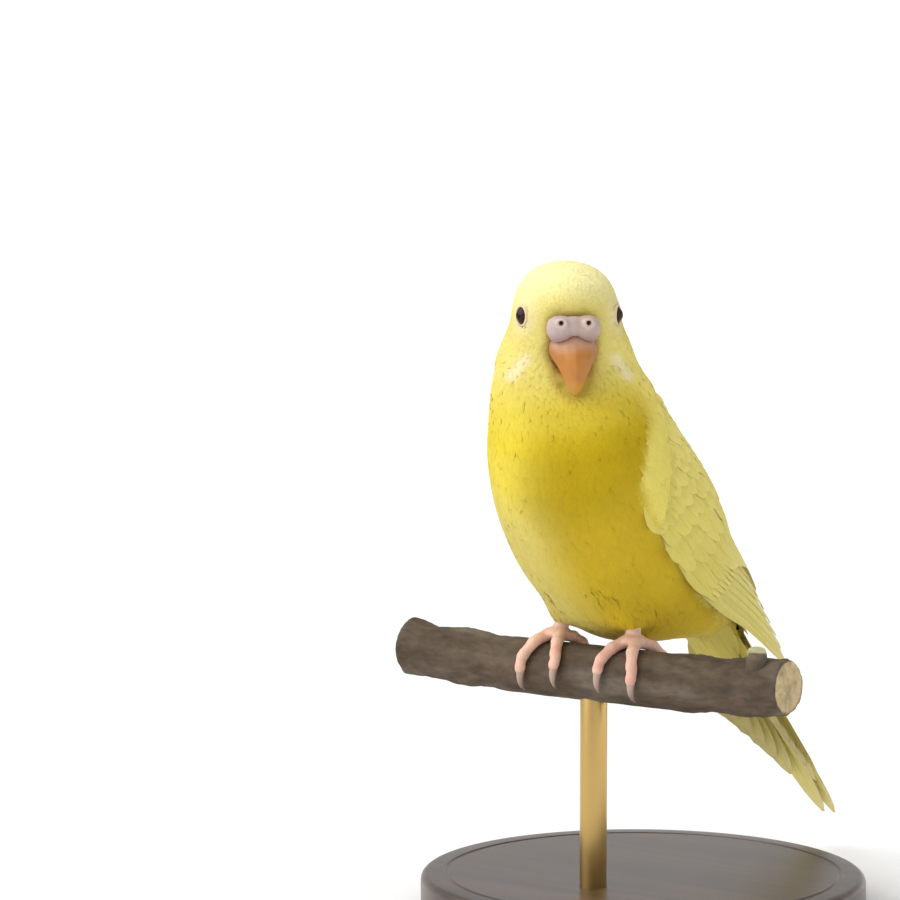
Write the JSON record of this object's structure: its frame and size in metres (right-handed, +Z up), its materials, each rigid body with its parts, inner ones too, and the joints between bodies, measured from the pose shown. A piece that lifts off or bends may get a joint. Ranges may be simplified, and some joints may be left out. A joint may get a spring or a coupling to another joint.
{
  "type": "perched budgerigar figure",
  "caption": "Still life-size budgerigar with folded wings and hanging tail, gripping a cut length of branch on a plain flat-based display stand",
  "frame": {"origin": "centre of the flat underside of the stand's round base, on the floor", "axes": "+Z up; the bird's breast faces -Y and its tail runs back and down towards +Y; its left side is +X; the branch lies along X"},
  "size_m": [0.1, 0.1326, 0.1472],
  "materials": {
    "plumage": "soft feathers",
    "flight_feathers": "smooth feathers",
    "cere_skin": "bare skin",
    "horn": "satin horn",
    "eye": "polished dark",
    "foot_skin": "scaled skin",
    "bark": "rough bark",
    "stand_metal": "satin",
    "stand_wood": "dark satin varnish"
  },
  "bodies": {
    "root": {"torso": "plumage", "neck": "plumage", "head": "plumage", "leg_left": "plumage", "leg_right": "plumage", "wing_left": "flight_feathers", "wing_right": "flight_feathers", "tail": "flight_feathers", "cere": "cere_skin", "beak_upper": "horn", "beak_lower": "horn", "eye_left": "eye", "eye_right": "eye", "foot_left": "foot_skin", "foot_right": "foot_skin", "perch": "bark", "stand_rod": "stand_metal", "stand_base": "stand_wood"}
  },
  "joints": []
}
